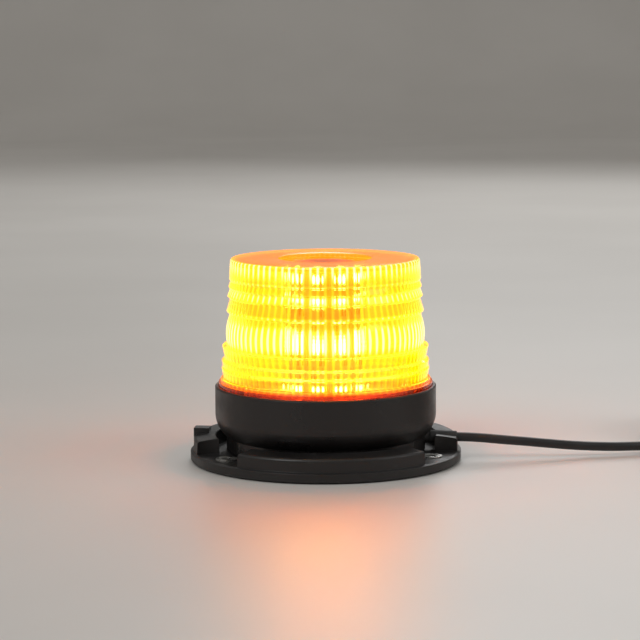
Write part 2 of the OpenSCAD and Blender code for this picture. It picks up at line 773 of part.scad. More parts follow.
module button(x, tint) {
    top = grip_half[1] + button_travel;
    color(tint) in_plug() translate([x, 0, 0]) rotate_extrude() polygon(concat(
        [[0, button_foot_z], [4.3, button_foot_z], [4.3, 8.3], [button_r, 8.3]],
        [for (a = [0 : 30 : 90]) [button_r - 0.5 + 0.5 * cos(a), top - 0.5 + 0.5 * sin(a)]],
        [[1.8, top], [0, top - 0.2]]));
}

module power_button() { button(button_x[0], "firebrick"); }
module mode_button() { button(button_x[1], "slategray"); }

module tip_contact() {
    x = spring_x[1] + fuse_len;
    end = nose_x + cap_len + tip_travel + 2.5;
    color("goldenrod") in_plug() rotate([0, 90, 0]) rotate_extrude() polygon(concat(
        [[0, x], [4.6, x], [4.6, x + 1.5], [tip_r, x + 1.5]],
        [for (a = [0 : 15 : 75]) [tip_r * cos(a), end + tip_r * (sin(a) - 1)]],
        [[0, end]]));
}

module side_contact(s) {
    color("gainsboro") in_plug() scale([1, s, 1]) translate([51, 0, -1.6])
        linear_extrude(height = 3.2) {
            intersection() {
                translate([0, barrel_r + side_travel + 0.2 - 14]) circle(r = 14);
                translate([-6.5, 6]) square([13, 8]);
            }
            translate([-8.6, 6]) square([17.2, 0.9]);
        }
}

module side_contact_left() { side_contact(1); }
module side_contact_right() { side_contact(-1); }

lens_dome();
lens_gasket();
housing();
foot_flange();
rubber_pad();
magnet_cups();
magnets();
mount_eyelets();
base_screws();
lens_screws();
reflector_shelf();
led_tower();
tower_screws();
led_boards();
board_screws();
led_packages();
led_domes();
chip_resistors();
tower_cap();
driver_board();
board_standoffs();
driver_screws();
capacitors();
inductor();
driver_chips();
tower_connector();
lead_red();
lead_black();
tower_lead_red();
tower_lead_black();
cable_boot();
cable_clamp();
clamp_screws();
power_cord();
cord_coil();
coil_tie();
plug_lead();
plug_relief();
plug_grip_upper();
plug_grip_lower();
plug_barrel();
plug_nose_cap();
plug_board();
tact_switches();
plug_fuse();
tip_spring();
plug_screws();
plug_indicator();
power_button();
mode_button();
tip_contact();
side_contact_left();
side_contact_right();
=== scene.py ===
import json
import math

import bmesh
import bpy
import numpy as np
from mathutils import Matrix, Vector


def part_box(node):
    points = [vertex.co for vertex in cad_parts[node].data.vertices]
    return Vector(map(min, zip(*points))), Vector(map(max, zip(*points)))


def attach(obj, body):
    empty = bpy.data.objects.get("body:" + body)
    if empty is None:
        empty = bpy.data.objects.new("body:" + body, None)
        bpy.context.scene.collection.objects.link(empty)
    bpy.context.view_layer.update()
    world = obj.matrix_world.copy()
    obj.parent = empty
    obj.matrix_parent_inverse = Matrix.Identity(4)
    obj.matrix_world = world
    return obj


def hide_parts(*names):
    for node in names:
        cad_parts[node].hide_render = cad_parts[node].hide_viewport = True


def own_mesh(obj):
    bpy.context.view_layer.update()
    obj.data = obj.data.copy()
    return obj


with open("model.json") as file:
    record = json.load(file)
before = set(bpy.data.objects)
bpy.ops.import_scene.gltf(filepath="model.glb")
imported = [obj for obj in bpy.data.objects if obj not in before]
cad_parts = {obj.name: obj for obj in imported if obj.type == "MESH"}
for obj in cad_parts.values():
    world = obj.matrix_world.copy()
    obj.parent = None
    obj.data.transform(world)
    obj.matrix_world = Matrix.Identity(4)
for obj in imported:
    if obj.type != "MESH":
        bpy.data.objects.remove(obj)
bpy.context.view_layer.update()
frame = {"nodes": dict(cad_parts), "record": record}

# The looks of an amber LED beacon with a coiled lead and a vehicle-socket plug.
# Outlines are in millimetres, as in the CAD source, and meshes are made in metres.

MM = 0.001
SLOTS = {part["node"]: part["material_slot"] for part in frame["record"]["subparts"]}

# Lens
LENS_LOW, LENS_HIGH = (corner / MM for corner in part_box("lens_dome"))
FLUTES = 84
FLUTE_R = 8
FLUTE_DEPTH = 0.15
LIP_Z = (38, 39.6)          # the lip fades into the wall
ROOF_Z = (94.6, 94.9)       # the wall gives way to the top
WALL_R = (44.4, 44.9)       # the top gives way to the wall
CROWN_R = (17.3, 17.9)      # the lit part of an emitter's dome, from the axis

# Lead
CORD_D = 4.4

# Stored coil of the lead
COIL_CENTRE = (202, 58)
COIL_MID_R = 28.4
COIL_TURNS = 26
COIL_LAYERS = 6
COIL_PITCH = CORD_D + 0.05
COIL_FIRST_Z = 2.8
COIL_STEPS = 40             # points a turn
TIE_T = 0.6
TIE_W = 12


# Shapes ------------------------------------------------------------------

def add_object(name, data, body="root"):
    """Puts data in the scene as an object that rides on a CAD body."""
    piece = bpy.data.objects.new(name, data)
    bpy.context.scene.collection.objects.link(piece)
    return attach(piece, body)


def finish_mesh(mesh, crease=35):
    """Welds a mesh, turns its faces outward and smooths all but its sharp edges."""
    edit = bmesh.new()
    edit.from_mesh(mesh)
    bmesh.ops.remove_doubles(edit, verts=edit.verts, dist=1e-6)
    bmesh.ops.dissolve_degenerate(edit, edges=edit.edges, dist=1e-7)
    bmesh.ops.recalc_face_normals(edit, faces=edit.faces)
    edit.to_mesh(mesh)
    edit.free()
    mesh.shade_smooth()
    mesh.set_sharp_from_angle(angle=math.radians(crease))


def grid_mesh(name, points, wrap_rows, wrap_columns):
    """A mesh of quads over a grid of points, closed along its rows and columns if asked."""
    rows, columns = points.shape[:2]
    r = np.arange(rows if wrap_rows else rows - 1)
    c = np.arange(columns if wrap_columns else columns - 1)
    row, column = np.meshgrid(r, c, indexing="ij")
    next_row, next_column = (row + 1) % rows, (column + 1) % columns
    faces = np.stack([row * columns + column, row * columns + next_column,
                      next_row * columns + next_column, next_row * columns + column], -1)
    mesh = bpy.data.meshes.new(name)
    mesh.from_pydata((points.reshape(-1, 3) * MM).tolist(), [], faces.reshape(-1, 4).tolist())
    return mesh


def lathe(name, outline, look, steps=256, wave=None, closed=False):
    """A turned piece about +Z. wave gives the radius at each outline point and angle."""
    angles = np.linspace(0, 2 * math.pi, steps, endpoint=False)
    r = np.array([p[0] for p in outline])[:, None]
    z = np.array([p[1] for p in outline])[:, None]
    radius = r + np.zeros((1, steps)) if wave is None else wave(angles)
    points = np.stack([radius * np.cos(angles), radius * np.sin(angles),
                       z + np.zeros((1, steps))], -1)
    mesh = grid_mesh(name, points, closed, True)
    finish_mesh(mesh)
    mesh.materials.append(look)
    return add_object(name, mesh)


def rounded(outline, size, steps=3):
    """The outline with each corner eased by a short curve, size long on either side."""
    made = [outline[0]]
    for before, corner, after in zip(outline, outline[1:], outline[2:]):
        b, k, a = (Vector(p) for p in (before, corner, after))
        first = k + (b - k).normalized() * min(size, (b - k).length * 0.45)
        last = k + (a - k).normalized() * min(size, (a - k).length * 0.45)
        for i in range(steps + 1):
            t = i / steps
            made.append(tuple(first * (1 - t) ** 2 + k * 2 * t * (1 - t) + last * t ** 2))
    return made + [outline[-1]]


def smooth_route(points, steps):
    """A Catmull-Rom curve through points, with this many steps between each two."""
    p = [Vector(x) for x in points]
    made = []
    for i in range(len(p) - 1):
        a, b, c, d = p[max(i - 1, 0)], p[i], p[i + 1], p[min(i + 2, len(p) - 1)]
        for k in range(steps):
            t = k / steps
            made.append(0.5 * (2 * b + (c - a) * t + (2 * a - 5 * b + 4 * c - d) * t * t
                               + (3 * b - a - 3 * c + d) * t ** 3))
    return made + [p[-1]]


# Material building -------------------------------------------------------

class Look:
    """A material built from nodes round one surface shader."""

    def __init__(self, name, color, rough, edge=0.0, **sockets):
        self.material = bpy.data.materials.new(name)
        self.material.use_nodes = True
        self.tree = self.material.node_tree
        self.tree.nodes.clear()
        self.output = self.tree.nodes.new("ShaderNodeOutputMaterial")
        self.shader = self.add("BsdfPrincipled", {"Base Color": (*color, 1),
                                                  "Roughness": rough, **sockets})
        self.tree.links.new(self.shader.outputs[0], self.output.inputs["Surface"])
        self.place = self.add("TexCoord").outputs["Object"]
        self.normal = None
        if edge:
            self.normal = self.add("Bevel", {"Radius": edge}, samples=4).outputs[0]
            self.put("Normal", self.normal)

    def add(self, kind, inputs=None, **attributes):
        """Adds a node. An input's value is a number, a colour or another node's output."""
        made = self.tree.nodes.new("ShaderNode" + kind)
        for key, value in attributes.items():
            setattr(made, key, value)
        for key, value in (inputs or {}).items():
            if isinstance(value, bpy.types.NodeSocket):
                self.tree.links.new(value, made.inputs[key])
            else:
                made.inputs[key].default_value = value
        return made

    def put(self, socket, value):
        """Feeds one socket of the surface shader."""
        self.tree.links.new(value, self.shader.inputs[socket])

    def noise(self, scale, detail=4, rough=0.5, stretch=None):
        """Noise from 0 to 1, with scale features a metre, drawn out by stretch if given."""
        place = self.place
        if stretch:
            place = self.add("Mapping", {"Vector": place, "Scale": stretch}).outputs[0]
        return self.add("TexNoise", {"Vector": place, "Scale": scale, "Detail": detail,
                                     "Roughness": rough}).outputs[0]

    def span(self, value, low, high, to_low=0.0, to_high=1.0):
        """Maps low..high to to_low..to_high, smoothly and without going beyond."""
        return self.add("MapRange", {0: value, 1: low, 2: high, 3: to_low, 4: to_high},
                        interpolation_type="SMOOTHSTEP").outputs[0]

    def level(self, value, low, high):
        """Where value lies between two sizes in millimetres, from 0 to 1."""
        made = self.span(value, low * MM, high * MM)
        made.node.interpolation_type = "LINEAR"
        return made

    def axes(self):
        """The X, Y and Z of a point in the frame."""
        return self.add("SeparateXYZ", {0: self.place}).outputs

    def from_axis(self, axes):
        """Distance from the beacon's upright axis."""
        squares = [self.calc("POWER", axis, 2.0) for axis in axes[:2]]
        return self.calc("SQRT", self.calc("ADD", *squares))

    def calc(self, operation, a, b=0.0):
        return self.add("Math", {0: a, 1: b}, operation=operation).outputs[0]

    def blend(self, share, a, b):
        """Colour a where share is 0 and b where it is 1."""
        made = self.add("Mix", {0: share}, data_type="RGBA")
        for socket, value in ((6, a), (7, b)):
            if isinstance(value, bpy.types.NodeSocket):
                self.tree.links.new(value, made.inputs[socket])
            else:
                made.inputs[socket].default_value = (*value, 1)
        return made.outputs[2]

    def ramp(self, value, stops, ease="LINEAR"):
        """Colours along a value, from (position, colour) stops."""
        made = self.add("ValToRGB", {0: value})
        made.color_ramp.interpolation = ease
        while len(made.color_ramp.elements) < len(stops):
            made.color_ramp.elements.new(0.5)
        for element, (position, color) in zip(made.color_ramp.elements, stops):
            element.position = position
            element.color = (*color, 1)
        return made.outputs[0]

    def bump(self, height, depth):
        """Raises the surface by up to depth metres where height is 1."""
        inputs = {"Height": height, "Distance": depth, "Strength": 1.0}
        if self.normal:
            inputs["Normal"] = self.normal
        self.normal = self.add("Bump", inputs).outputs[0]
        self.put("Normal", self.normal)


def tint(color, factor):
    return tuple(min(1.0, c * factor) for c in color)


def handled(look, color, rough, wear=0.5, spread=0.12):
    """Smudges in the gloss, fine scratches and a little dust, as on a thing in use."""
    smudge = look.noise(38, 5, 0.6)
    scratch = look.noise(260, 2, 0.5, stretch=(1, 0.04, 1))
    lines = look.span(scratch, 0.66, 0.72, 0.0, wear)
    dust = look.span(look.noise(1700, 2), 0.66, 0.78, 0.0, wear)
    marks = look.calc("MAXIMUM", lines, dust)
    base = look.blend(look.span(smudge, 0.3, 0.7), tint(color, 0.85), tint(color, 1.15))
    pale = tuple(c * 0.6 + 0.1 for c in color)
    look.put("Base Color", look.blend(look.calc("MULTIPLY", marks, 0.35), base, pale))
    gloss = look.span(smudge, 0.32, 0.68, max(0.03, rough - spread), min(1, rough + spread))
    look.put("Roughness", look.calc("ADD", gloss, look.calc("MULTIPLY", marks, 0.2)))
    return look


def plastic(name, color, rough, grain=2.5e-5, size=0.00045, edge=0.0003, wear=0.5, **sockets):
    """Moulded plastic with a fine spark-eroded grain."""
    look = Look(name, color, rough, edge, **sockets)
    look.bump(look.noise(1 / size, 3, 0.6), grain)
    look.bump(look.noise(45, 2), 6e-5)
    return handled(look, color, rough, wear)


def rubber(name, color, rough=0.7, edge=0.0003):
    """Matt rubber with a soft bloom and a velvety grain."""
    look = Look(name, color, rough, edge, **{"Sheen Weight": 0.15})
    look.bump(look.noise(2600, 3, 0.7), 3e-5)
    return handled(look, color, rough, wear=0.7, spread=0.08)


def metal(name, color, rough, brush=(1, 1, 0.05), depth=6e-6, tarnish=0.4, edge=0.0001):
    """Metal with a brushed or drawn grain, handling marks and a little tarnish."""
    look = Look(name, color, rough, edge, Metallic=1.0)
    look.bump(look.noise(2200, 2, 0.5, stretch=brush), depth)
    stain = look.span(look.noise(150, 5, 0.65), 0.45, 0.75, 0.0, tarnish)
    dull = tuple(c * k for c, k in zip(color, (0.55, 0.48, 0.4)))
    look.put("Base Color", look.blend(stain, color, dull))
    uneven = look.span(look.noise(420, 4), 0.3, 0.7, rough * 0.7, rough * 1.4)
    look.put("Roughness", look.calc("ADD", uneven, look.calc("MULTIPLY", stain, 0.2)))
    return look


# Materials ---------------------------------------------------------------

def column_share(look, angle, count, phase, sharp):
    """1 along each of count evenly spaced upright lines, falling to 0 between them."""
    turned = look.calc("MULTIPLY", look.calc("SUBTRACT", angle, phase), count)
    wave = look.calc("ADD", look.calc("MULTIPLY", look.calc("COSINE", turned), 0.5), 0.5)
    return look.calc("POWER", wave, sharp)


def painted_lens_glow(look):
    """How strongly the outside of the lens glows, as painted light: painted bright rows and flute
    lines on the wall, and painted rings by distance from the middle on top."""
    axes = look.axes()
    angle = look.calc("ARCTAN2", axes[1], axes[0])
    from_axis = look.from_axis(axes)
    # painted glow by prism row: bright bands where the emitters shine through, darker bands between
    rows = [(36.5, 0.0), (38.1, 0.04), (38.5, 0.2), (39.9, 0.3), (42, 0.36), (43.4, 0.3),
            (44.6, 0.55), (45.6, 0.55), (46.6, 0.34), (48.4, 0.34), (49.4, 0.6), (50.2, 0.3),
            (54.4, 0.42), (56, 0.7), (59, 0.95), (63, 1.0), (66.5, 0.92), (69.5, 0.6),
            (71.6, 0.58), (72.6, 0.8), (73.6, 0.4), (78, 0.42), (80, 0.8), (82, 0.86),
            (84.4, 0.55), (86.6, 0.52), (87.8, 0.78), (88.6, 0.5), (90.4, 0.7), (93.5, 0.9)]
    painted_row_glow = look.ramp(look.level(axes[2], LENS_LOW.z, LENS_HIGH.z),
                     levels(rows, LENS_LOW.z, LENS_HIGH.z))
    # painted bright lines, one down each flute
    flute = column_share(look, angle, FLUTES, 0.0, 2.2)
    patch = look.span(look.noise(60, 2), 0.3, 0.7, 0.92, 1.06)
    painted_flute_stripes = look.calc("MULTIPLY", look.span(flute, 0.0, 1.0, 0.66, 1.18), patch)
    wall = look.calc("MULTIPLY", look.calc("MULTIPLY", painted_row_glow, painted_flute_stripes),
                     look.span(from_axis, WALL_R[0] * MM, WALL_R[1] * MM))
    # painted glow on the top, in rings by distance from the axis
    painted_ring_levels = [(0, 0.06), (9, 0.1), (20, 0.12), (22.2, 0.12), (23.4, 0.2), (31, 0.19),
             (43, 0.2), (45, 0.3)]
    roof_r = 46
    painted_roof_glow = look.ramp(look.level(from_axis, 0, roof_r), levels(painted_ring_levels, 0, roof_r))
    on_roof = look.span(axes[2], 94.7 * MM, 94.9 * MM)
    inner = look.span(from_axis, 44.6 * MM, 45.1 * MM, 1.0, 0.0)
    return look.calc("ADD", look.calc("MULTIPLY", painted_roof_glow, look.calc("MULTIPLY", on_roof, inner)),
                     wall)


def levels(stops, low, high):
    """Grey ramp stops from (size in millimetres, share) pairs."""
    return [((place - low) / (high - low), (share,) * 3) for place, share in stops]


def amber_lens():
    """Clear amber polycarbonate, lit from inside by the emitters, with a painted glow added in its
    emission.
    """
    color = (1.0, 0.5, 0.1)
    look = Look("amber_lens", color, 0.06, IOR=1.49, **{"Transmission Weight": 1.0,
                                                        "Specular IOR Level": 0.15})
    look.bump(look.noise(90, 3), 2e-5)
    fingers = look.noise(55, 5, 0.65)
    look.put("Roughness", look.span(fingers, 0.42, 0.7, 0.08, 0.16))
    # painted glow colours, from dark red through orange to a painted yellow-white highlight
    painted_glow_color = look.ramp(painted_lens_glow(look), [
        (0.0, (0.03, 0.001, 0.0)), (0.1, (0.42, 0.06, 0.0)), (0.2, (0.75, 0.17, 0.0)),
        (0.28, (0.84, 0.26, 0.0)), (0.4, (0.86, 0.42, 0.0)), (0.6, (0.86, 0.6, 0.006)),
        (0.8, (0.86, 0.78, 0.05)), (1.0, (0.95, 0.96, 0.55))])
    look.put("Emission Color", painted_glow_color)
    look.shader.inputs["Emission Strength"].default_value = 1.0
    # the lip and the top are seen through more of the plastic, so they look deeper
    height = look.axes()[2]
    lip = look.span(height, LIP_Z[0] * MM, LIP_Z[1] * MM)
    wall = look.blend(lip, (0.3, 0.02, 0.004), color)
    top = look.span(height, ROOF_Z[0] * MM, ROOF_Z[1] * MM)
    look.put("Base Color", look.blend(top, wall, (0.6, 0.14, 0.01)))
    open_to_light(look, (1.0, 0.5, 0.05))
    return look


def open_to_light(look, color):
    """Lets shadow and diffuse rays pass, so that the emitters light what is around."""
    path = look.add("LightPath").outputs
    share = look.calc("MAXIMUM", path["Is Shadow Ray"], path["Is Diffuse Ray"])
    clear = look.add("BsdfTransparent", {"Color": (*color, 1)}).outputs[0]
    mix = look.add("MixShader", {0: share, 1: look.shader.outputs[0], 2: clear})
    look.tree.links.new(mix.outputs[0], look.output.inputs["Surface"])


def led_phosphor():
    """An emitter's silicone dome, alight: brightest over the die."""
    look = Look("led_phosphor", (1.0, 0.7, 0.1), 0.25)
    crown = look.span(look.from_axis(look.axes()), CROWN_R[0] * MM, CROWN_R[1] * MM)
    look.put("Emission Color", look.blend(crown, (0.01, 0.005, 0.0), (1.0, 0.9, 0.6)))
    look.shader.inputs["Emission Strength"].default_value = 180
    return look


def white_board(name, color):
    """White solder mask with the faint relief of the tracks under it."""
    look = Look(name, color, 0.4, 0.0001)
    tracks = look.noise(320, 1, 0.3, stretch=(1, 1, 0.15))
    look.bump(look.span(tracks, 0.48, 0.52), 3e-5)
    return handled(look, color, 0.4, wear=0.2)


def green_board():
    """Green solder mask over copper tracks, with pale specks."""
    color = (0.015, 0.13, 0.045)
    look = handled(Look("green_board", color, 0.35, 0.0001), color, 0.35, wear=0.3)
    cells = look.add("TexVoronoi", {"Vector": look.place, "Scale": 260}, distance="CHEBYCHEV",
                     feature="DISTANCE_TO_EDGE").outputs[0]
    tracks = look.span(cells, 0.06, 0.1)
    look.put("Base Color", look.blend(tracks, (0.02, 0.2, 0.07), color))
    look.bump(tracks, 3.5e-5)
    return look


def winding():
    """Enamelled copper wire wound round a core, with painted shade in the grooves between turns and
    a painted highlight on their crests.
    """
    look = Look("copper_winding", (0.5, 0.17, 0.05), 0.3, Metallic=0.8)
    turn_relief_and_shade = look.add("TexWave", {"Vector": look.place, "Scale": 420, "Distortion": 0.4},
                     bands_direction="Z").outputs["Fac"]
    look.bump(turn_relief_and_shade, 2e-4)
    # painted shade: darker in the grooves between turns, lighter on their crests
    look.put("Base Color", look.blend(turn_relief_and_shade, (0.22, 0.06, 0.02), (0.6, 0.22, 0.07)))
    return look


def printed_sleeve():
    """A capacitor's shrink sleeve with a pale polarity stripe."""
    look = Look("capacitor_sleeve", (0.015, 0.025, 0.12), 0.3, 0.0001)
    stripe = look.span(look.axes()[0], -0.0226, -0.0224, 1.0, 0.0)
    look.put("Base Color", look.blend(stripe, (0.015, 0.025, 0.12), (0.6, 0.62, 0.66)))
    look.bump(look.noise(240, 3), 8e-5)
    look.put("Roughness", look.span(look.noise(90), 0.3, 0.7, 0.2, 0.42))
    return look


def fuse_glass():
    """A glass tube between two plated caps."""
    look = metal("fuse_glass", (0.75, 0.74, 0.7), 0.25)
    along = look.axes()[0]
    middle = look.calc("MULTIPLY", look.span(along, 0.1799, 0.1801),
                       look.span(along, 0.1899, 0.1901, 1.0, 0.0))
    look.put("Metallic", look.calc("SUBTRACT", 1.0, middle))
    return look


def cord_jacket():
    """Satin PVC jacket, drawn lengthwise, with scuffs and a little dust."""
    color = (0.014, 0.014, 0.015)
    look = Look("cord_jacket", color, 0.42, **{"Coat Weight": 0.12, "Coat Roughness": 0.35})
    look.bump(look.noise(1500, 3, 0.6), 1.6e-5)
    look.bump(look.noise(130, 2), 6e-5)
    return handled(look, color, 0.42, wear=0.6)


def strap_fabric():
    """Hook-and-loop strap: rows of small loops over a woven tape, with painted shade down between
    the loops.
    """
    color = (0.03, 0.03, 0.036)
    look = Look("tie_strap", color, 0.9, **{"Sheen Weight": 0.5, "Sheen Roughness": 0.4})
    loop_relief_and_shade = look.add("TexVoronoi", {"Vector": look.place, "Scale": 1500}).outputs[0]
    look.bump(loop_relief_and_shade, 2.5e-4)
    look.bump(look.noise(4200, 3, 0.7), 8e-5)
    # painted shade: darker down between the loops, lighter on their tops
    look.put("Base Color", look.blend(look.span(loop_relief_and_shade, 0.1, 0.6), tint(color, 0.5),
                                      tint(color, 1.8)))
    return look


def make_looks():
    """Every material of the beacon, by the record's slot name."""
    looks = {
        "amber_lens": amber_lens(),
        "gasket": rubber("gasket", (0.05, 0.05, 0.05)),
        "black_plastic": plastic("black_plastic", (0.013, 0.012, 0.012), 0.36, wear=0.15),
        "foot_plastic": plastic("foot_plastic", (0.014, 0.013, 0.013), 0.4, wear=0.3),
        "pad_rubber": rubber("pad_rubber", (0.03, 0.03, 0.03)),
        "zinc_steel": metal("zinc_steel", (0.62, 0.62, 0.6), 0.3),
        "magnet_nickel": metal("magnet_nickel", (0.56, 0.55, 0.53), 0.22, brush=None),
        "white_reflector": plastic("white_reflector", (0.85, 0.84, 0.8), 0.3, wear=0.15),
        "heat_sink": metal("heat_sink", (0.72, 0.73, 0.74), 0.35, brush=(1, 1, 0.03)),
        "strip_board": white_board("strip_board", (0.82, 0.81, 0.76)),
        "led_body": plastic("led_body", (0.85, 0.8, 0.62), 0.35, edge=0.00008),
        "led_phosphor": led_phosphor(),
        "green_board": green_board(),
        "brass": metal("brass", (0.74, 0.52, 0.2), 0.26, brush=(0.05, 1, 1)),
        "component_black": plastic("component_black", (0.022, 0.022, 0.022), 0.5, edge=1e-4),
        "capacitor_sleeve": printed_sleeve(),
        "copper_winding": winding(),
        "connector_ivory": plastic("connector_ivory", (0.76, 0.71, 0.6), 0.4, edge=1e-4),
        "wire_red": plastic("wire_red", (0.5, 0.012, 0.01), 0.3, edge=0),
        "wire_black": plastic("wire_black", (0.016, 0.016, 0.016), 0.3, edge=0),
        "cord_jacket": cord_jacket(),
        "tie_strap": strap_fabric(),
        "plug_plastic": plastic("plug_plastic", (0.02, 0.02, 0.02), 0.38, grain=3e-5),
        "nickel": metal("nickel", (0.66, 0.64, 0.6), 0.2, brush=(1, 0.06, 0.06)),
        "fuse_glass": fuse_glass(),
        "button_red": plastic("button_red", (0.55, 0.02, 0.015), 0.3, edge=1e-4, wear=0.4),
        "button_grey": plastic("button_grey", (0.25, 0.27, 0.3), 0.35, edge=1e-4, wear=0.4),
        "indicator_red": plastic("indicator_red", (0.7, 0.02, 0.01), 0.12, edge=0, wear=0.2),
    }
    return {slot: look.material for slot, look in looks.items()}


# Pieces ------------------------------------------------------------------

def dress_nodes(looks):
    """Gives every CAD node the material of its slot."""
    for node, piece in frame["nodes"].items():
        piece.data.materials.clear()
        piece.data.materials.append(looks[SLOTS[node]])


def lens_outline():
    """The lens in section, from the recess floor outward, down, and back up inside."""
    def notch(z):
        return 45.1 + 0.025 * (87.4 - z)

    upper = [(45.7, 87.4), (46.1, 83.7), (46.6, 79.2), (47.1, 72.0)]
    outer = [(0, 95), (22.4, 95), (22.4, 97), (44.6, 97), (45.2, 96)]
    for r, z in upper:
        outer += [(r, z), (notch(z), z - 0.9)]
    for k in range(1, 9):
        t = k / 8
        outer.append((notch(70.8) + (46.9 - notch(70.8)) * t + 1.2 * math.sin(math.pi * t),
                      70.8 - 15.4 * t))
    outer += [(49.3, 55.4), (48.1, 49.6), (49.6, 48.6), (49, 45.7), (49.7, 44.7),
              (48.8, 39.8), (50.2, 39.8), (50.2, 38.3), (51.2, 38.3), (51.2, 34.8)]
    inner = [(46, 34.8), (46, 54.4), (42.4, 54.4), (42.4, 94.4), (24.4, 94.4), (24.4, 93),
             (0, 93)]
    return rounded(outer, 0.28) + rounded(inner, 0.2)


def flute_wave(outline, first_inner):
    """Radius at each outline point and angle, with the flutes cut into the inner wall."""
    def wave(angles):
        pitch = 2 * math.pi / FLUTES
        off = (angles + pitch / 2) % pitch - pitch / 2
        made = []
        for i, (r, z) in enumerate(outline):
            centre = r + FLUTE_DEPTH - FLUTE_R
            reach = np.sqrt(np.maximum(FLUTE_R ** 2 - (centre * np.sin(off)) ** 2, 0))
            cut = np.maximum(centre * np.cos(off) + reach, r)
            inside = i >= first_inner and r > 40
            made.append(cut if inside else np.full_like(angles, r))
        return np.array(made)
    return wave


def add_lens(look):
    outline = lens_outline()
    first_inner = next(i for i, p in enumerate(outline) if i > 8 and p[1] < 34.9 and p[0] < 51)
    piece = lathe("lens_shell", outline, look, FLUTES * 8, flute_wave(outline, first_inner))
    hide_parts("lens_dome")


def coil_points():
    """The turns of the stored coil: six layers, each wound in or out on the one below."""
    steps = COIL_TURNS * COIL_STEPS
    per_layer = COIL_TURNS / COIL_LAYERS
    outer_r = COIL_MID_R + per_layer * COIL_PITCH / 2
    made = []
    for k in range(1, steps):
        turn = k / COIL_STEPS
        layer, share = divmod(turn / per_layer, 1)
        inward = share if layer % 2 == 0 else 1 - share
        radius = outer_r - inward * per_layer * COIL_PITCH
        angle = 2 * math.pi * turn - math.pi / 2
        made.append((COIL_CENTRE[0] + radius * math.cos(angle),
                     COIL_CENTRE[1] + radius * math.sin(angle),
                     COIL_FIRST_Z + CORD_D * climbed(turn / per_layer)))
    return made


def climbed(layers):
    """Layers climbed after this many wound: level, with a short ramp at each change."""
    ramp = 0.03
    nearest = round(layers)
    t = (layers - nearest) / ramp
    if nearest in (0, COIL_LAYERS):
        return min(math.floor(layers), COIL_LAYERS - 1)
    if abs(t) >= 1:
        return math.floor(layers)
    t = (t + 1) / 2
    return nearest - 1 + t * t * (3 - 2 * t)


def add_lead(look):
    """The whole lead in one curve: off the boot, over the floor, round the coil, to the plug."""
    z = 10.5
    out = [(50, -2, z), (64, -2, 10.4), (74, -2, 9.9), (85, -2, 8.9), (97, -1, 7.7),
           (108, 0, 6.5), (119, 1, 5.4), (130, 3, 4.5), (140, 4, 4.1), (150, 6, 3.9),
           (163, 10, 3.3), (176, 15, 2.9), (189, 19, 2.8), (202, 20, 2.8)]
    back = [(202, 20, 24.8), (216, 20, 25), (232, 20, 24), (248, 18, 22), (262, 13, 19),
            (272, 4, 16), (277, -8, 13), (275, -21, 11.5), (267, -29.4, 11),
            (261.5, -30, 11), (256, -30, 11), (236, -30, 11)]
    points = [Vector(p) for p in smooth_route(out, 4) + coil_points() + smooth_route(back, 4)]
    curve = bpy.data.curves.new("lead", "CURVE")
    curve.dimensions = "3D"
    curve.bevel_depth = CORD_D / 2 * MM
    curve.bevel_resolution = 5
    curve.use_fill_caps = True
    line = curve.splines.new("POLY")
    line.points.add(len(points) - 1)
    for point, place in zip(line.points, points):
        point.co = (*(place * MM), 1)
    line.use_smooth = True
    curve.materials.append(look)
    lead = add_object("lead", curve)
    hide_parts("power_cord", "cord_coil", "plug_lead")
    length = sum((b - a).length for a, b in zip(points, points[1:])) * MM
    return lead, length


def add_spring(look):
    """The plug's tip spring, which shortens as the tip is pushed in, made as a helix of wire at one
    length.
    """
    low, high = (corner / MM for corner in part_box("tip_spring"))
    wire, turns, steps = 0.35, 5, 28
    coil_r = (high.z - low.z) / 2 - wire
    rows = []
    for k in range(turns * steps + 1):
        share = k / (turns * steps)
        angle = 2 * math.pi * k / steps
        x = high.x - wire - (high.x - low.x - 2 * wire) * share
        thick = 0 if share in (0, 1) else wire
        rows.append([(x + thick * math.sin(t), (low.y + high.y) / 2 + r * math.cos(angle),
                      (low.z + high.z) / 2 + r * math.sin(angle))
                     for t in np.linspace(0, 2 * math.pi, 10, endpoint=False)
                     for r in [coil_r + thick * math.cos(t)]])
    mesh = grid_mesh("spring_wire", np.array(rows), False, True)
    finish_mesh(mesh, 60)
    mesh.materials.append(look)
    spring = add_object("spring_wire", mesh)
    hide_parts("tip_spring")
    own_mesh(spring)
    return spring


def add_tie(look):
    """The strap round one side of the coil, with its free end lapped on top."""
    lo, hi = (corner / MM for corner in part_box("coil_tie"))
    left, right, top = lo.x + TIE_T / 2, hi.x - TIE_T / 2, hi.z - 1 - TIE_T / 2
    corner = 2.2
    loop = []
    for x, z, start in ((right - corner, TIE_T / 2 + corner, -90), (right - corner, top - corner, 0),
                        (left + corner, top - corner, 90), (left + corner, TIE_T / 2 + corner, 180)):
        for k in range(7):
            a = math.radians(start + 15 * k)
            loop.append((x + corner * math.cos(a), z + corner * math.sin(a)))
    lap = [(left + 6 + k * 2, top + TIE_T * 0.9 + 0.25 * math.sin(k)) for k in range(7)]
    pieces = []
    for line, closed in ((loop, True), (lap, False)):
        pieces.append(strap_rows(line, lo.y + TIE_W / 2, closed))
    mesh = bpy.data.meshes.new("tie_strap")
    join_grids(mesh, pieces)
    finish_mesh(mesh, 50)
    mesh.materials.append(look)
    strap = add_object("tie_strap", mesh)
    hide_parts("coil_tie")
    return strap


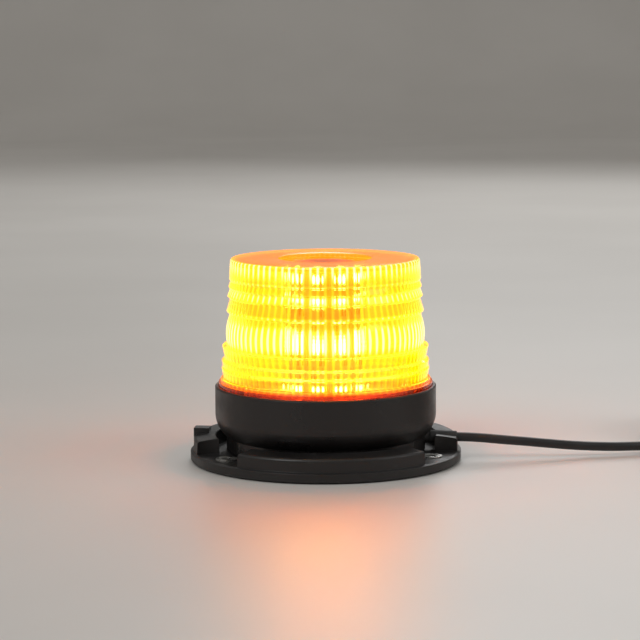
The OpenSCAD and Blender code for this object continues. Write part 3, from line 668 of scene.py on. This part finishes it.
def strap_rows(line, y, closed):
    """A flat strap that follows a line in the XZ plane: rows of section points."""
    rows = []
    count = len(line)
    for i, (x, z) in enumerate(line):
        a = line[(i - 1) % count] if closed or i else line[0]
        b = line[(i + 1) % count] if closed or i < count - 1 else line[-1]
        along = Vector((b[0] - a[0], b[1] - a[1])).normalized()
        side = Vector((along.y, -along.x))
        half, side_y, ease = TIE_T / 2, TIE_W / 2, 0.3
        section = [(-side_y, -half * 0.5), (ease - side_y, -half), (side_y - ease, -half),
                   (side_y, -half * 0.5), (side_y, half * 0.5), (side_y - ease, half),
                   (ease - side_y, half), (-side_y, half * 0.5)]
        rows.append([(x + side.x * d, y + w, z + side.y * d) for w, d in section])
    return np.array(rows), closed


def join_grids(mesh, grids):
    """One mesh from several grids of points that each close round their columns."""
    verts, faces = [], []
    for rows, closed in grids:
        count, width = rows.shape[:2]
        base = len(verts)
        verts += (rows.reshape(-1, 3) * MM).tolist()
        for i in range(count if closed else count - 1):
            for j in range(width):
                a, b = base + i * width, base + (i + 1) % count * width
                faces.append((a + j, a + (j + 1) % width, b + (j + 1) % width, b + j))
        if not closed:
            faces.append(tuple(base + j for j in range(width)))
            faces.append(tuple(base + (count - 1) * width + j for j in range(width)))
    mesh.from_pydata(verts, [], faces)


# Stage -------------------------------------------------------------------

def add_camera():
    """A long lens a little above the beacon, looking slightly down at it."""
    data = bpy.data.cameras.new("camera")
    data.sensor_width = 36
    data.lens = 126.9
    camera = bpy.data.objects.new("camera", data)
    bpy.context.scene.collection.objects.link(camera)
    camera.location = (-0.0018, -1.070, 0.206)
    camera.rotation_euler = (math.radians(82.6), math.radians(0.29), 0)
    bpy.context.scene.camera = camera


def floor_look():
    look = Look("floor", (0.7, 0.68, 0.65), 0.45)
    cloud = look.span(look.noise(3, 3), 0.3, 0.7)
    look.put("Base Color", look.blend(cloud, (0.68, 0.66, 0.63), (0.72, 0.7, 0.67)))
    look.bump(look.noise(500, 3), 1e-5)
    return look.material


def add_floor():
    """A pale floor that curves up into a wall far away on every side."""
    bend = [(3.2 + math.sin(a), 1 - math.cos(a)) for a in np.linspace(0, math.pi / 2, 9)]
    outline = [(0, 0), (1, 0), *bend, (4.2, 2.6)]
    angles = np.linspace(0, 2 * math.pi, 64, endpoint=False)
    points = np.array([[(r * math.cos(a), r * math.sin(a), z) for a in angles]
                       for r, z in outline])
    mesh = grid_mesh("floor", points / MM, False, True)
    finish_mesh(mesh)
    mesh.flip_normals()
    mesh.materials.append(floor_look())
    floor = bpy.data.objects.new("floor", mesh)
    bpy.context.scene.collection.objects.link(floor)


def add_softbox(name, place, size, power, color=(1, 1, 1)):
    """A square softbox that faces the beacon."""
    data = bpy.data.lights.new(name, "AREA")
    data.size = size
    data.energy = power
    data.color = color
    lamp = bpy.data.objects.new(name, data)
    lamp.location = place
    lamp.rotation_euler = (Vector((0, 0, 0.05)) - Vector(place)).to_track_quat("-Z", "Y").to_euler()
    bpy.context.scene.collection.objects.link(lamp)


def add_stage():
    add_floor()
    add_softbox("key", (-1.2, -1.3, 1.7), 1.2, 15)
    add_softbox("fill", (1.6, -0.6, 1.2), 1.2, 6)
    add_softbox("rim", (0.4, 1.8, 1.1), 1.0, 9)
    world = bpy.data.worlds.new("studio")
    world.use_nodes = True
    world.node_tree.nodes["Background"].inputs[0].default_value = (0.8, 0.78, 0.75, 1)
    world.node_tree.nodes["Background"].inputs[1].default_value = 0.42
    bpy.context.scene.world = world
    bpy.context.scene.view_settings.view_transform = "Standard"


def main():
    add_camera()
    looks = make_looks()
    dress_nodes(looks)
    lead, length = add_lead(looks["cord_jacket"])
    add_tie(looks["tie_strap"])
    add_spring(looks["nickel"])
    add_lens(looks["amber_lens"])
    add_stage()


main()
